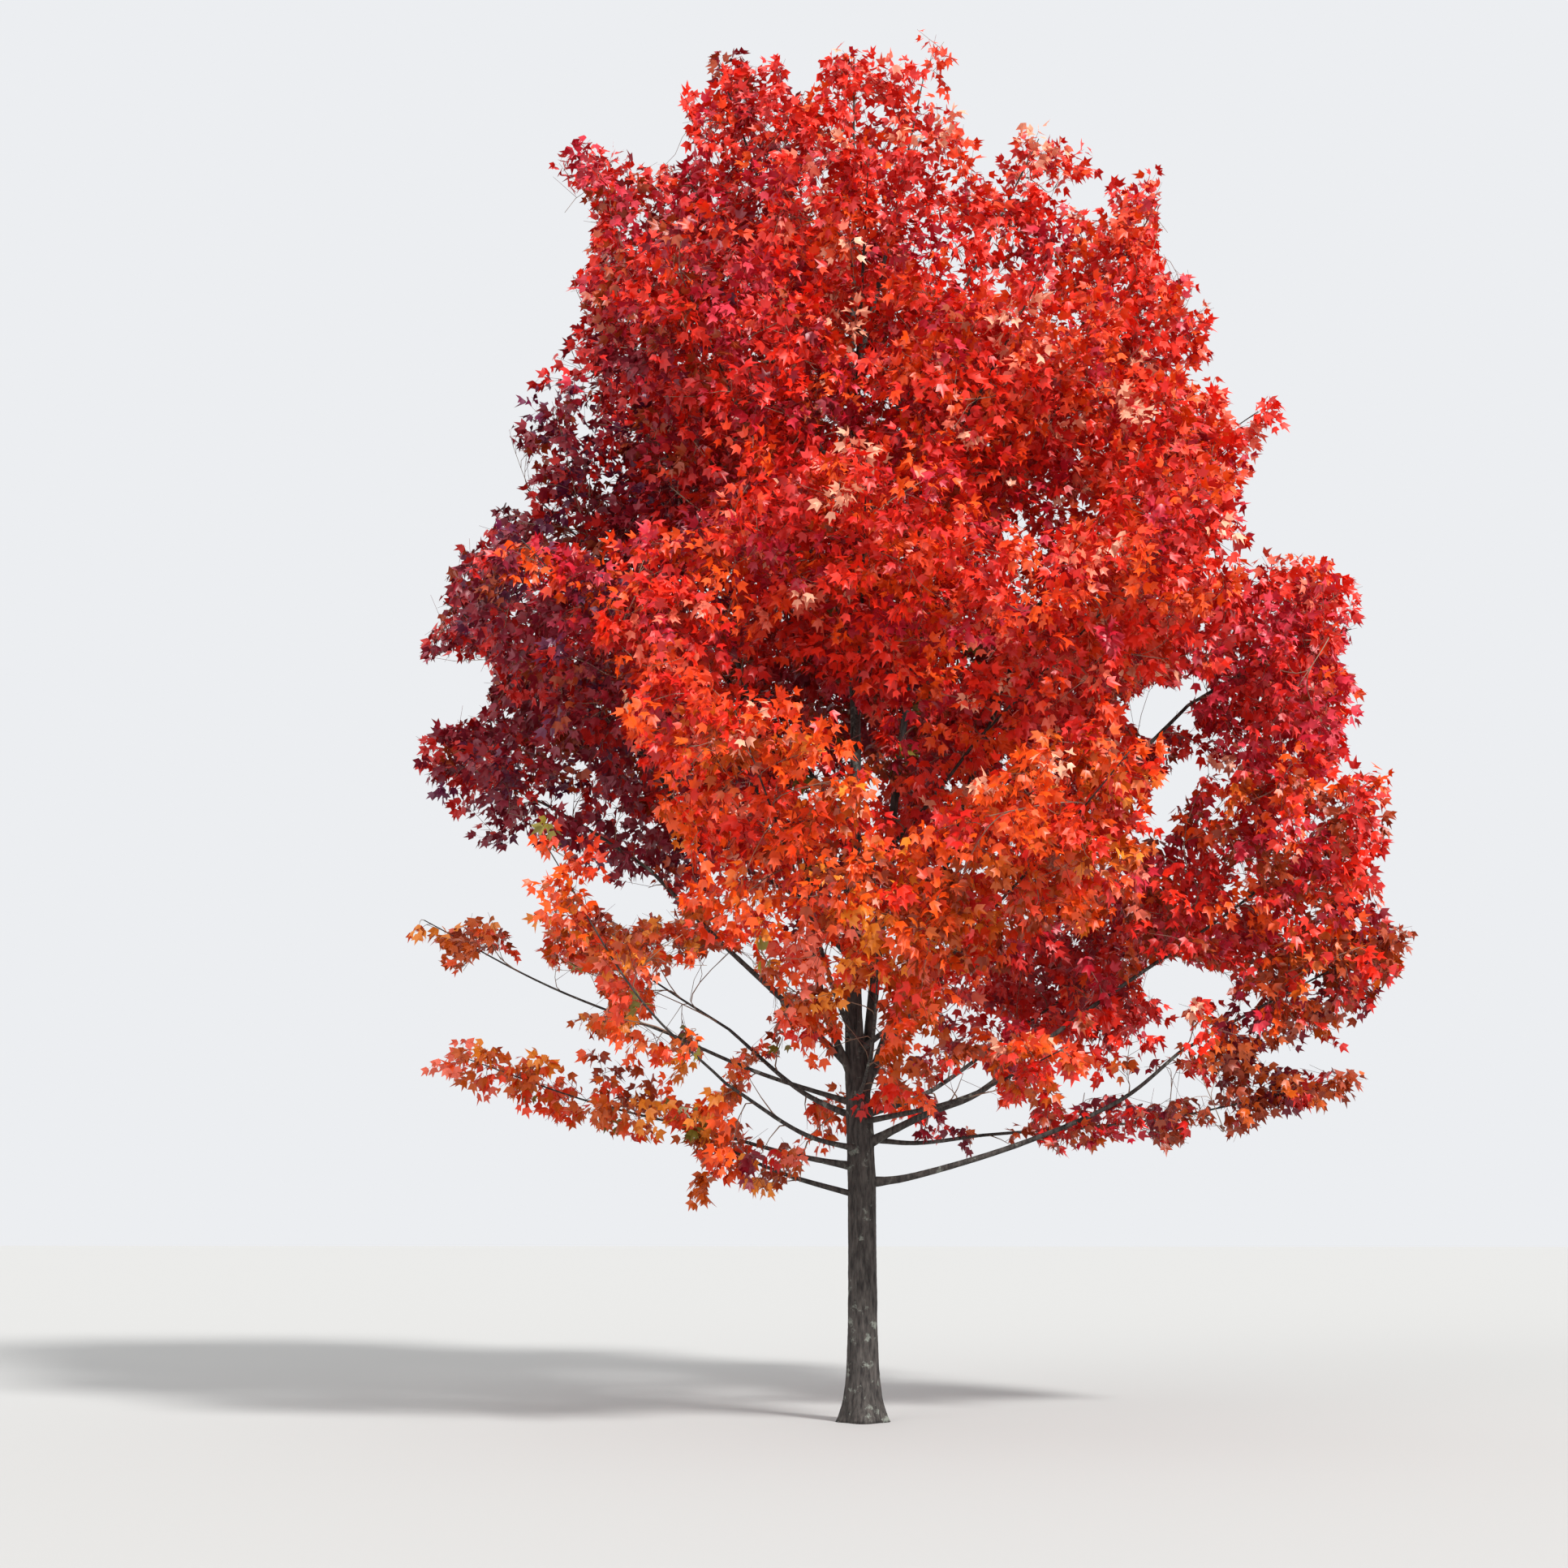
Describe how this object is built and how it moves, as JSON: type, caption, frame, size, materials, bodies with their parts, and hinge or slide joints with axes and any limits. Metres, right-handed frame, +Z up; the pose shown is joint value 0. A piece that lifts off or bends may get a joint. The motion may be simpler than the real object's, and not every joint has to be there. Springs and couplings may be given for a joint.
{
  "type": "maple tree",
  "caption": "Young broad-headed maple in full autumn colour: leaning trunk with a root flare, rising and spreading boughs, and masses of scarlet, crimson, orange and maroon leaves",
  "frame": {"origin": "The middle of the trunk's flat cut at ground level.", "axes": "+Z is up. The picture is seen along +Y, from the -Y side, and +X is to its right."},
  "size_m": [6.8, 5.7053, 9.6],
  "materials": {
    "bark": "matte",
    "leaves_scarlet": "matte",
    "leaves_crimson": "matte",
    "leaves_orange": "matte",
    "leaves_maroon": "matte"
  },
  "bodies": {
    "root": {"trunk": "bark", "right_leader": "bark", "right_stem": "bark", "upright_bough": "bark", "left_spreading_bough": "bark", "upper_left_bough": "bark", "middle_left_bough": "bark", "low_left_bough": "bark", "left_layer_bough": "bark", "right_big_bough": "bark", "right_upper_bough": "bark", "low_right_bough": "bark", "level_bough": "bark", "front_low_bough": "bark", "cascade_bough": "bark", "front_rising_bough": "bark", "front_right_bough": "bark", "front_left_bough": "bark", "front_high_bough": "bark", "back_left_bough": "bark", "back_right_bough": "bark", "back_left_low_bough": "bark", "back_low_bough": "bark", "top_spire": "leaves_scarlet", "top_left_spire": "leaves_crimson", "top_right_spire": "leaves_scarlet", "upper_front": "leaves_scarlet", "upper_back": "leaves_crimson", "upper_left": "leaves_crimson", "upper_right": "leaves_scarlet", "upper_left_spire": "leaves_crimson", "upper_right_spire": "leaves_scarlet", "upper_front_left": "leaves_crimson", "upper_front_right": "leaves_scarlet", "upper_back_left": "leaves_crimson", "upper_back_right": "leaves_scarlet", "middle_left": "leaves_maroon", "lower_left": "leaves_maroon", "middle_right": "leaves_scarlet", "front": "leaves_scarlet", "back": "leaves_crimson", "left_shoulder": "leaves_maroon", "left_layer": "leaves_orange", "lowest_left_spray": "leaves_orange", "drooping_spray": "leaves_orange", "right_lobe": "leaves_scarlet", "right_low": "leaves_crimson", "right_low_tip": "leaves_crimson", "lowest_right_spray": "leaves_crimson", "front_low_spray": "leaves_orange", "front_right_spray": "leaves_scarlet", "front_left_cascade": "leaves_orange", "front_left_low": "leaves_scarlet", "front_right_low": "leaves_scarlet", "front_left": "leaves_scarlet", "front_right": "leaves_scarlet", "back_left": "leaves_maroon", "back_right": "leaves_crimson", "back_left_low": "leaves_orange", "back_right_low": "leaves_crimson"}
  },
  "joints": []
}
